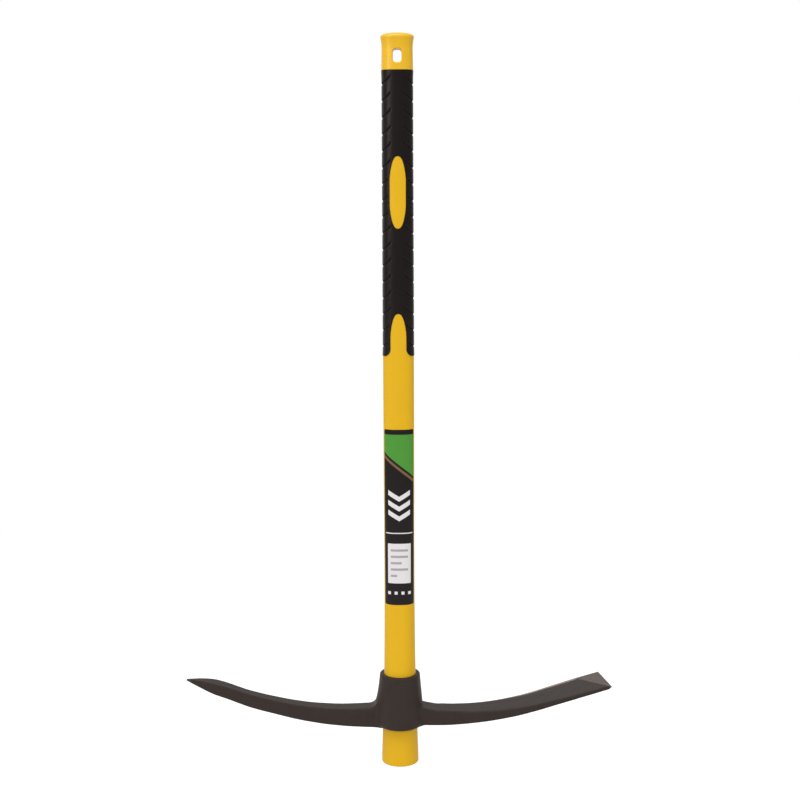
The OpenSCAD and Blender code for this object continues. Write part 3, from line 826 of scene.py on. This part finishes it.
def sleeve_tree(sizes):
    """Nodes that wrap a grid round the handle, press the grooves in and cut the openings."""
    tree = bpy.data.node_groups.new("ribbed_sleeve", "GeometryNodeTree")
    face = tree.interface
    face.new_socket("Geometry", in_out="INPUT", socket_type="NodeSocketGeometry")
    face.new_socket("Openings", in_out="INPUT", socket_type="NodeSocketObject")
    face.new_socket("Material", in_out="INPUT", socket_type="NodeSocketMaterial")
    face.new_socket("Geometry", in_out="OUTPUT", socket_type="NodeSocketGeometry")
    f, source = group_inputs(tree, sizes)
    half_w = f["shank_w"] * 0.5
    half_t = f["shank_t"] * 0.5

    def grid(rows):
        """Unit grid with its share round the handle and its row number."""
        counts = {"Vertices X": f["columns"] + 1, "Vertices Y": rows + 1}
        node = add_node(tree, "GeometryNodeMeshGrid", counts)
        place = tree.nodes.new("GeometryNodeInputPosition").outputs[0]
        split = add_node(tree, "ShaderNodeSeparateXYZ", {0: place})
        around = Field(tree, split.outputs[0]) + 0.5
        row = (Field(tree, split.outputs[1]) + 0.5) * rows
        return node.outputs["Mesh"], around, row

    def section(around):
        """Unit section of the handle at a share of the way round."""
        turn = around * math.tau
        c = turn.math("COSINE")
        s = turn.math("SINE")
        total = abs(c) ** f["squareness"] + abs(s) ** f["squareness"]
        reach = total ** (f["squareness"] ** -1.0 * -1.0)
        return c * reach, s * reach

    def end_level(z):
        """Level of the sleeve's face: a slight widening downwards, swelling lips and rounded end edges."""
        level = ((f["window_top"] - z) / (f["window_top"] - f["base"])).clamp() * f["swell"]
        for gap in (z - f["base"], f["top"] - z):
            lip = (1.0 - gap / f["lip_l"]).step(0.0, 1.0) * f["lip"]
            bite = (1.0 - gap / f["end_r"]).clamp()
            edge = (1.0 - (1.0 - bite * bite).math("SQRT")) * f["end_r"]
            level = level + lip - edge
        return level

    def wrap(mesh, around, level, z):
        """Lay a grid round the handle."""
        cx, cy = section(around)
        spot = {0: cx * (half_w + level), 1: cy * (half_t + level), 2: z}
        spot = add_node(tree, "ShaderNodeCombineXYZ", spot).outputs[0]
        return add_node(tree, "GeometryNodeSetPosition", {"Geometry": mesh, "Position": spot}).outputs[0]

    # Outer face: rows run along the grooves, and crowd where a groove is
    ends = f["end_rows"]
    main = f["groove_rows"] * (f["grooves"] - 0.5)
    mesh, around, row = grid(main + ends * 2.0)
    cx, _ = section(around)
    x = abs(cx) * half_w
    climb = ((half_w - x) / (half_w - f["inner_x"])).clamp() * f["groove_rise"]
    phase = ((row - ends).most(0.0).least(main)) / f["groove_rows"] - 0.25
    crowded = phase - (phase * math.tau).math("SINE") * (CROWD / math.tau)
    low = f["top"] - f["start"] - f["pitch"] * (f["grooves"] - 1.0)
    z = low + f["pitch"] * crowded + climb
    share = (row / ends).clamp()
    z = f["base"] + (z - f["base"]) * (share * share)
    share = 1.0 - ((row - ends - main) / ends).clamp()
    z = f["top"] - (f["top"] - z) * (share * share)
    away = abs(crowded - crowded.math("ROUND")) * f["pitch"]
    lean = f["groove_rise"] / (half_w - f["inner_x"])
    wide = f["groove_w"] * 0.5 * (lean * lean + 1.0).math("SQRT")
    pressed = 1.0 - away.step(*(wide * share for share in GROOVE_SIDE))
    pressed = pressed * x.step(*(f["inner_x"] + gap for gap in INNER_SLOPE))
    oval_w = f["oval_w"] * 0.5 + f["border"]
    middle = f["window_top"] - f["window_h"] * 0.5
    tall = f["window_h"] * 0.5 + f["border"]
    for gap in (abs(z - middle) - tall, z - f["base"] - f["tongue_h"] - f["border"]):
        shrink = ((gap + f["oval_end_l"]) / f["oval_end_l"]).clamp() ** f["oval_power"]
        limit = (1.0 - shrink).most(0.0) ** (f["oval_blunt"] ** -1.0) * oval_w
        pressed = pressed * (x - limit).step(*BORDER_SLOPE)
    # The groove mask is kept as a point attribute for the rubber's painted shade in the grooves
    noted = {"Geometry": mesh, "Name": "groove", "Value": pressed}
    noted = add_node(tree, "GeometryNodeStoreNamedAttribute", noted, data_type="FLOAT", domain="POINT")
    outer = wrap(noted.outputs["Geometry"], around, end_level(z) - pressed * f["groove_depth"], z)

    # Inner face with the two end faces
    mesh, around, row = grid(3)
    upper = row.math("GREATER_THAN", 1.5)
    z = f["base"] + (f["top"] - f["base"]) * upper
    inside = 1.0 - abs(row - 1.5).math("GREATER_THAN", 1.0)
    level = end_level(z)
    inner = wrap(mesh, around, level - (level + f["thick"]) * inside, z)
    turned = add_node(tree, "GeometryNodeFlipFaces", {"Mesh": inner})

    # One closed sleeve, cut open and finished
    both = add_node(tree, "GeometryNodeJoinGeometry", {0: outer})
    feed(tree, both.inputs[0], turned.outputs["Mesh"])
    shape = {"Geometry": both.outputs[0], "Distance": 0.00001}
    shape = add_node(tree, "GeometryNodeMergeByDistance", shape)
    tool = {"Object": source.outputs["Openings"]}
    tool = add_node(tree, "GeometryNodeObjectInfo", tool, transform_space="ORIGINAL")
    meshes = {"Mesh 1": shape.outputs["Geometry"], "Mesh 2": tool.outputs["Geometry"]}
    shape = add_node(tree, "GeometryNodeMeshBoolean", meshes, operation="DIFFERENCE", solver="MANIFOLD")
    shape = add_node(tree, "GeometryNodeSetShadeSmooth", {"Geometry": shape.outputs["Mesh"]})
    bend = tree.nodes.new("GeometryNodeInputMeshEdgeAngle").outputs["Unsigned Angle"]
    crisp = Field(tree, bend).math("GREATER_THAN", math.radians(55))
    hard = {"Geometry": shape.outputs["Geometry"], "Selection": crisp, "Shade Smooth": False}
    shape = add_node(tree, "GeometryNodeSetShadeSmooth", hard, domain="EDGE")
    shape = add_node(tree, "GeometryNodeRealizeInstances", {"Geometry": shape.outputs["Geometry"]})
    paint = {"Geometry": shape.outputs["Geometry"], "Material": source.outputs["Material"]}
    shape = add_node(tree, "GeometryNodeSetMaterial", paint)
    add_node(tree, "NodeGroupOutput", {"Geometry": shape.outputs["Geometry"]})
    return tree


class PICKAXE_OT_grip(bpy.types.Operator):
    """Make the soft sleeve with its chevron grooves, windows and legs."""

    bl_idname = "pickaxe.grip"
    bl_label = "Grip"

    def execute(self, context):
        s = settings()
        g = s.grip
        count = int((g.top - g.base - g.start - g.lip_l) / g.pitch) + 1
        sizes = {key: getattr(s.handle, key) for key in ("shank_w", "shank_t", "squareness")}
        for key in type(g).__annotations__:
            if key not in ("corner_r", "pad_sink"):
                sizes[key] = getattr(g, key)
        sizes.update(grooves=count, columns=160, groove_rows=16, end_rows=7)
        piece = new_object("grip_skin", [], [])
        tree = sleeve_tree(sizes)
        material = grip_rubber()
        gap = 0.00005
        tool = openings("grip_openings", gap)
        values = dict(sizes, Openings=tool, Material=material)
        step = piece.modifiers.new("ribbed_sleeve", "NODES")
        step.node_group = tree
        for socket in tree.interface.items_tree:
            if socket.in_out == "INPUT" and socket.name in values:
                step[socket.identifier] = values[socket.name]
        bake(piece)
        bpy.data.objects.remove(tool)
        if not piece.data.polygons:
            raise RuntimeError("the grip has no faces")
        finish_piece(piece, "soft_grip", material, "grip_sleeve")
        return {"FINISHED"}


# End cap


class PICKAXE_OT_cap(bpy.types.Operator):
    """Make the end cap with its flared rim, crown and hanging slot."""

    bl_idname = "pickaxe.cap"
    bl_label = "End cap"

    def execute(self, context):
        s = settings()
        h = s.handle
        c = s.cap
        ratio = h.shank_t / h.shank_w
        rim_z = c.top - c.crown_h
        flare_z = rim_z - c.flare_h

        def width(z):
            """Width of the cap below the rim."""
            if z < flare_z:
                return h.shank_w + (c.neck_w - h.shank_w) * (z - c.base) / (flare_z - c.base)
            return c.neck_w + (c.rim_w - c.neck_w) * ((z - flare_z) / c.flare_h) ** 2

        def ring(w, z):
            """Section of the cap."""
            return oval(w, w * ratio, h.squareness, z)

        rings = [handle_section(z, -s.grip.thick) for z in spread(c.spigot, c.base, 6)]
        edge = 0.0003
        rings += [ring(width(c.base) - 2 * edge, c.base), ring(width(c.base), c.base + edge)]
        rings += [ring(width(z), z) for z in spread(c.base + 4 * edge, flare_z, 14)]
        rings += [ring(width(z), z) for z in spread(flare_z, rim_z, 14)[1:]]
        for rise, _ in quarter(24)[1:-1]:
            rings.append(ring(c.rim_w * math.sqrt(1 - rise**c.crown_power), rim_z + c.crown_h * rise))
        piece = loft("cap_shell", rings)
        slot_z = c.top - c.slot_drop - c.slot_h / 2
        face = width(slot_z) * ratio / 2

        def slot_ring(grow, y):
            """Outline of the slot at depth y, anticlockwise seen from the front."""
            points = []
            r = c.slot_corner_r + grow
            for sx, sz, start in ((1, 1, 0), (-1, 1, 90), (-1, -1, 180), (1, -1, 270)):
                for turn in spread(start, start + 90, 8):
                    x = sx * (c.slot_w / 2 - c.slot_corner_r) + r * math.cos(math.radians(turn))
                    z = slot_z + sz * (c.slot_h / 2 - c.slot_corner_r) + r * math.sin(math.radians(turn))
                    points.append((x, y, z))
            return points

        profile = [(c.mouth_r * (1 - cos), face - c.mouth_r * (1 - sin)) for sin, cos in quarter(8)]
        profile.append((1.6 * c.mouth_r, face + OVER))
        rings = [slot_ring(grow, y) for grow, y in reversed(profile)]
        rings += [slot_ring(grow, -y) for grow, y in profile]
        combine(piece, loft("slot_tool", rings))
        combine(piece, bore("rod_end", c.spigot - OVER, c.base))
        shade(piece, 38)
        # Painted light: the cap is the handle's plastic with its yellow painted 7 % brighter
        material = yellow_plastic("cap_plastic", gloss=0.42, light=1.07)
        finish_piece(piece, "yellow_plastic", material, "end_cap")
        return {"FINISHED"}


# Label


class PICKAXE_OT_label(bpy.types.Operator):
    """Make the printed film on the front of the shank."""

    bl_idname = "pickaxe.label"
    bl_label = "Label"

    def execute(self, context):
        f = settings().label
        columns = 56
        crowd = 1.2
        heights = [f.corner_r * (1 - cos) for _, cos in quarter(8)]
        middle = spread(f.corner_r, f.top - f.base - f.corner_r, 110)[1:-1]
        heights += middle + [f.top - f.base - v for v in reversed(heights)]
        verts = []
        places = []
        for grow in (f.fit + f.film, f.fit):
            for v in heights:
                gap = max(0.0, f.corner_r - min(v, f.top - f.base - v))
                half = f.width / 2 - f.corner_r + math.sqrt(max(0.0, f.corner_r**2 - gap**2))
                row = []
                for j in range(columns + 1):
                    x = half * math.sin(crowd * (2 * j / columns - 1)) / math.sin(crowd)
                    row.append(Vector((x, front_face(x, f.base + v, grow), f.base + v)))
                along = [0.0]
                for a, b in zip(row, row[1:]):
                    along.append(along[-1] + (b - a).length)
                verts += [tuple(p) for p in row]
                places += [(u - along[-1] / 2, v) for u in along]
        k = columns + 1
        m = len(heights)
        faces = []
        for i in range(m - 1):
            for j in range(columns):
                a = i * k + j
                faces.append((a, a + 1, a + 1 + k, a + k))
                a += m * k
                faces.append((a + k, a + 1 + k, a + 1, a))
        border = list(range(k)) + [i * k + k - 1 for i in range(1, m)]
        border += [(m - 1) * k + j for j in range(k - 2, -1, -1)] + [i * k for i in range(m - 2, 0, -1)]
        for a, b in zip(border, border[1:] + border[:1]):
            faces.append((a, a + m * k, b + m * k, b))
        piece = new_object("label_print", verts, faces)
        layer = piece.data.uv_layers.new(name="print")
        for loop in piece.data.loops:
            layer.data[loop.index].uv = places[loop.vertex_index]
        shade(piece, 50)
        finish_piece(piece, "label_film", label_film(), "label")
        return {"FINISHED"}


# Head

# Powers of the curves along the arms
PICK_W_POWER = 1.3
PICK_H_POWER = 1.5
POINT_POWER = 1.3
BLADE_POWER = 1.4
SKEW_POWER = 4
RISE_POWER = 1.2
# Powers of the boss's flare, up the boss and round it
FLARE_UP_POWER = 2.6
FLARE_ROUND_POWER = 3
# Beyond this distance from the boss, and over this length, the skin is drawn to the arms' own shape
TRUE_START = 0.004
TRUE_LENGTH = 0.010
# Share of the softening that the arms are spared
SPARED = 0.8
# Waves of the forged unevenness: scale and share
HAMMER_WAVES = ((55, 1.0), (170, 0.45))


def arm_rise(x):
    """Height of the arms' middle line at distance x."""
    h = settings().head
    d = max(0.0, x - h.arm_level_l)
    turn = h.arm_bend_r * math.sin(h.arm_angle)
    if d < turn:
        return h.arm_bend_r - math.sqrt(h.arm_bend_r**2 - d * d)
    return h.arm_bend_r * (1 - math.cos(h.arm_angle)) + (d - turn) * math.tan(h.arm_angle)


def side_half(x, half, fillet):
    """Half depth of an arm, run into the boss on a fillet."""
    h = settings().head
    r = h.arm_start * h.boss_low_d / 2
    centre = math.sqrt(max(0.0, (r + fillet) ** 2 - (half + fillet) ** 2))
    d = centre - max(x, centre * r / (r + fillet))
    return half if d <= 0 else half + fillet - math.sqrt(fillet**2 - d * d)


def arm_ring(side, x, lift, w, t, rise, fall, skew):
    """One section round the arms' middle line; its top rises and its underside falls towards the boss."""
    s = settings()
    middle = s.handle.eye_base + s.head.arm_mid_h + lift
    ring = []
    for across, up, _ in oval(w, t, s.head.arm_square, 0.0):
        reach = x - skew * across / w
        z = middle + arm_rise(reach) + up
        z += (rise if up > 0 else fall) * up / (t / 2)
        ring.append((side * reach, across * side, z))
    return ring


def pick_rings():
    """Sections of the pointed arm."""
    h = settings().head
    neck = h.pick_reach - h.point_l - h.swell_l
    point = h.pick_reach - h.point_l
    root = h.boss_low_d / 2
    rings = []
    for x in [-OVER] + spread(OVER, point, 110) + spread(point, h.pick_reach, 30)[1:]:
        share = clamp01((x - root) / (neck - root))
        ground = clamp01((x - point) / h.point_l)
        taper = 1 - ground**POINT_POWER
        if x < neck:
            w = h.pick_neck_w + (h.pick_root_w - h.pick_neck_w) * (1 - share) ** PICK_W_POWER
            t = h.pick_neck_h + (h.pick_root_h - h.pick_neck_h) * (1 - share) ** PICK_H_POWER
        elif x < point:
            w = h.pick_neck_w + (h.point_w - h.pick_neck_w) * smooth((x - neck) / h.swell_l)
            t = h.pick_neck_h + (h.point_h - h.pick_neck_h) * (x - neck) / h.swell_l
        else:
            w = h.tip_w + (h.point_w - h.tip_w) * taper
            t = h.tip_w + (h.point_h - h.tip_w) * taper
        lift = h.point_lift * math.sin(math.pi * clamp01((x - neck) / (h.pick_reach - neck)))
        lift -= h.neck_sag * smooth(1 - clamp01(abs(x - neck) / h.neck_sag_l))
        lift -= h.root_sag * (1 - share) ** 2 + h.tip_drop * ground**2
        w = 2 * side_half(x, w / 2, h.pick_side_fillet)
        near = clamp01((h.arm_start * root + h.pick_top_l - x) / h.pick_top_l)
        rise = h.pick_top_h * (1 - math.sqrt(1 - near * near))
        rings.append(arm_ring(-1, x, lift, w, t, rise, 0.0, 0.0))
    return rings


def chisel_rings():
    """Sections of the chisel arm."""
    h = settings().head
    root = h.boss_low_d / 2
    bevel = h.chisel_reach - h.bevel_l
    rings = []
    for x in [-OVER] + spread(OVER, bevel, 110) + spread(bevel, h.chisel_reach, 12)[1:]:
        share = clamp01((x - h.arm_level_l) / (bevel - h.arm_level_l))
        w = h.chisel_root_w + (h.edge_w - h.chisel_root_w) * (share + smooth(share)) / 2
        t = h.blade_t + (h.chisel_root_h - h.blade_t) * (1 - share) ** BLADE_POWER
        skew = (h.edge_skew + h.bevel_skew) * share**SKEW_POWER
        ground = clamp01((x - bevel) / h.bevel_l)
        t += (h.edge_t - h.blade_t) * ground
        skew -= h.bevel_skew * ground
        w = 2 * side_half(x, w / 2, h.chisel_side_fillet)
        near = clamp01((h.chisel_start * root + h.chisel_top_l - x) / h.chisel_top_l)
        rise = h.chisel_top_h * near**RISE_POWER
        fall = h.chisel_foot_h * clamp01((root - x) / h.chisel_foot_l)
        rings.append(arm_ring(1, x, h.edge_lift * ground, w, t, rise, fall, skew))
    return rings


def boss_rings():
    """Sections of the eye boss."""
    s = settings()
    h = s.head
    low = h.boss_low_d
    top = h.boss_top_d
    foot_r = h.boss_edge_r
    rim_r = h.boss_rim_r
    tall = s.handle.eye_top - s.handle.eye_base
    profile = [(low - 2 * foot_r * (1 - sin), foot_r * (1 - cos)) for sin, cos in quarter(12)]
    for share in spread(0.0, 1.0, 16)[1:-1]:
        profile.append((low + (top - low) * share, foot_r + (tall - rim_r - foot_r) * share))
    profile += [(top - 2 * rim_r * (1 - cos), tall - rim_r * (1 - sin)) for sin, cos in quarter(8)]
    arm_top = h.arm_mid_h + h.pick_root_h / 2
    rings = []
    for d, z in profile:
        flare = h.boss_flare * clamp01((tall - z) / (tall - arm_top)) ** FLARE_UP_POWER
        flare *= smooth(clamp01(z / arm_top))
        ring = []
        for x, y, level in oval(d, d, 2, s.handle.eye_base + z):
            ring.append((x - flare * max(0.0, -2 * x / d) ** FLARE_ROUND_POWER, y, level))
        rings.append(ring)
    return rings


class PICKAXE_OT_head(bpy.types.Operator):
    """Make the forged head: boss and arms in one skin, softened and slightly uneven."""

    bl_idname = "pickaxe.head"
    bl_label = "Head"

    def execute(self, context):
        s = settings()
        h = s.head
        piece = loft("head_forging", boss_rings(), pick_rings(), chisel_rings())
        shape = loft("arm_shape", pick_rings(), chisel_rings())
        step = piece.modifiers.new("one_skin", "REMESH")
        step.mode = "VOXEL"
        step.voxel_size = h.skin_cell
        bake(piece)
        soften = piece.vertex_groups.new(name="soften")
        true_arms = piece.vertex_groups.new(name="true_arms")
        for vertex in piece.data.vertices:
            clear = clamp01((abs(vertex.co.x) - h.boss_low_d / 2 - TRUE_START) / TRUE_LENGTH)
            soften.add([vertex.index], 1 - SPARED * clear, "REPLACE")
            true_arms.add([vertex.index], clear, "REPLACE")
        step = piece.modifiers.new("soften", "SMOOTH")
        step.factor = 0.5
        step.iterations = 14
        step.vertex_group = "soften"
        step = piece.modifiers.new("true_arms", "SHRINKWRAP")
        step.target = shape
        step.vertex_group = "true_arms"
        bake(piece)
        bpy.data.objects.remove(shape)
        piece.vertex_groups.clear()
        normals = [v.normal.copy() for v in piece.data.vertices]
        for vertex, normal in zip(piece.data.vertices, normals):
            wave = sum(share * noise.noise(vertex.co * scale) for scale, share in HAMMER_WAVES)
            vertex.co += normal * (h.hammer_h * wave)
        slope = (s.handle.seat_top_d - s.handle.butt_d) / s.handle.eye_top
        rims = []
        for z in (s.handle.eye_base - OVER, s.handle.eye_top + OVER):
            d = s.handle.butt_d + slope * z + 2 * h.eye_fit
            rims.append(oval(d, d, 2, z))
        combine(piece, loft("eye_tool", rims))
        shade(piece, 50)
        finish_piece(piece, "forged_steel", forged_steel(), "pick_head")
        return {"FINISHED"}


# Stage

# Soft boxes: setting, place, aim, width and height
LAMPS = (
    ("key", (-1.5, -1.8, 1.5), (0, 0, 0.6), 0.7, 1.6),
    ("fill", (2.4, -0.5, 0.9), (0, 0, 0.45), 1.2, 1.6),
    ("top", (-0.6, -1.6, 4.4), (0, 0, 0.3), 1.9, 1.9),
)
# What shiny surfaces see towards the camera's side, against 1 behind the object
DIM_SIDE = 0.2
# Where that change starts and ends, and how far it is turned to the left
BEHIND = (0.2, 0.95)
BEHIND_TURN = 0.2


def soft_box(name, place, aim, wide, tall, power):
    """One large soft lamp."""
    data = bpy.data.lights.new(name, "AREA")
    data.shape = "RECTANGLE"
    data.size = wide
    data.size_y = tall
    data.energy = power
    lamp = bpy.data.objects.new(name, data)
    bpy.context.scene.collection.objects.link(lamp)
    lamp.location = place
    lamp.rotation_euler = (Vector(aim) - Vector(place)).to_track_quat("-Z", "Y").to_euler()
    return lamp


def seen_directly(tree):
    """1 where the camera, a reflection or a clear piece looks at the stage."""
    path = tree.nodes.new("ShaderNodeLightPath")
    seen = Field(tree, path.outputs["Is Camera Ray"])
    seen = seen.most(Field(tree, path.outputs["Is Glossy Ray"]))
    return seen.most(Field(tree, path.outputs["Is Transmission Ray"]))


def floor_material():
    """Pale floor that shows as white and keeps the object's shadow."""
    material = bpy.data.materials.new("studio_floor")
    material.use_nodes = True
    tree = material.node_tree
    tree.nodes.clear()
    plain = add_node(tree, "ShaderNodeBsdfDiffuse", {"Color": (0.8, 0.8, 0.8)})
    shadowed = add_node(tree, "ShaderNodeBsdfDiffuse", {"Color": (0.3, 0.3, 0.3)})
    glow = add_node(tree, "ShaderNodeEmission", {"Color": (1.0, 1.0, 1.0), "Strength": 0.88})
    shown = add_node(tree, "ShaderNodeAddShader", {0: shadowed.outputs[0], 1: glow.outputs[0]})
    either = {0: seen_directly(tree), 1: plain.outputs[0], 2: shown.outputs[0]}
    either = add_node(tree, "ShaderNodeMixShader", either)
    add_node(tree, "ShaderNodeOutputMaterial", {"Surface": either.outputs[0]})
    return material


def studio_world(room):
    """White behind the object, dimmer towards the camera's side, even room light."""
    world = bpy.data.worlds.new("studio_room")
    bpy.context.scene.world = world
    world.use_nodes = True
    tree = world.node_tree
    tree.nodes.clear()
    way = tree.nodes.new("ShaderNodeTexCoord").outputs["Generated"]
    split = add_node(tree, "ShaderNodeSeparateXYZ", {0: way})
    path = tree.nodes.new("ShaderNodeLightPath")
    direct = Field(tree, path.outputs["Is Camera Ray"])
    direct = direct.most(Field(tree, path.outputs["Is Transmission Ray"]))
    shine = Field(tree, path.outputs["Is Glossy Ray"])
    behind = Field(tree, split.outputs[1]) - Field(tree, split.outputs[0]) * BEHIND_TURN
    behind = behind.step(*BEHIND) * (1 - DIM_SIDE) + DIM_SIDE
    level = direct.most(behind * shine + (1.0 - shine) * room)
    sky = add_node(tree, "ShaderNodeBackground", {"Color": (1.0, 1.0, 1.0), "Strength": level})
    add_node(tree, "ShaderNodeOutputWorld", {"Surface": sky.outputs[0]})


class PICKAXE_OT_stage(bpy.types.Operator):
    """Set the floor, the soft light and the camera."""

    bl_idname = "pickaxe.stage"
    bl_label = "Stage"

    def execute(self, context):
        scene = context.scene
        t = settings().stage
        rim = oval(2 * t.floor_r, 2 * t.floor_r, 2, 0.0, 96)
        floor = new_object("floor", rim, [tuple(range(len(rim)))])
        floor.data.materials.append(floor_material())
        studio_world(t.room)
        for name, place, aim, wide, tall in LAMPS:
            lamp = soft_box(name + "_lamp", place, aim, wide, tall, getattr(t, name))
            lamp.visible_glossy = name != "fill"
        data = bpy.data.cameras.new("camera")
        data.sensor_width = 36.0
        data.lens = t.lens
        camera = bpy.data.objects.new("camera", data)
        scene.collection.objects.link(camera)
        back = Vector((0, -math.cos(t.tilt), math.sin(t.tilt)))
        turn = Euler((math.pi / 2 - t.tilt, 0, 0)).to_matrix() @ Matrix.Rotation(-t.roll, 3, "Z")
        camera.rotation_euler = turn.to_euler()
        camera.location = Vector((t.aim_x, 0, t.aim_z)) + back * t.distance
        scene.camera = camera
        scene.view_settings.view_transform = "Standard"
        return {"FINISHED"}


class PICKAXE_PT_panel(bpy.types.Panel):
    """Sizes, finishes and steps of the pick axe."""

    bl_idname = "PICKAXE_PT_panel"
    bl_label = "Pick axe"
    bl_space_type = "VIEW_3D"
    bl_region_type = "UI"
    bl_category = "Pick axe"

    def draw(self, context):
        layout = self.layout
        for name in ("head", "handle", "grip", "cap", "label", "finish", "stage"):
            group = getattr(context.scene.pick_axe, name)
            box = layout.box()
            box.label(text=name.capitalize())
            for key in type(group).__annotations__:
                box.prop(group, key)
        for step in STEPS:
            layout.operator(step.bl_idname)


STEPS = (
    PICKAXE_OT_head,
    PICKAXE_OT_handle,
    PICKAXE_OT_core,
    PICKAXE_OT_grip,
    PICKAXE_OT_cap,
    PICKAXE_OT_label,
    PICKAXE_OT_stage,
)
CLASSES = (
    PickHandleSizes,
    PickGripSizes,
    PickCapSizes,
    PickLabelSizes,
    PickHeadSizes,
    PickFinishes,
    PickStageSettings,
    PickSettings,
    *STEPS,
    PICKAXE_PT_panel,
)


def register():
    """Add the classes and the settings to Blender."""
    for item in CLASSES:
        bpy.utils.register_class(item)
    bpy.types.Scene.pick_axe = bpy.props.PointerProperty(type=PickSettings)


def unregister():
    """Take the settings and the classes out again."""
    del bpy.types.Scene.pick_axe
    for item in reversed(CLASSES):
        bpy.utils.unregister_class(item)


def main():
    """Build every piece and the stage."""
    register()
    bpy.ops.pickaxe.head()
    bpy.ops.pickaxe.handle()
    bpy.ops.pickaxe.core()
    bpy.ops.pickaxe.grip()
    bpy.ops.pickaxe.cap()
    bpy.ops.pickaxe.label()
    bpy.ops.pickaxe.stage()
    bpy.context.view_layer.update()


if __name__ == "__main__":
    main()
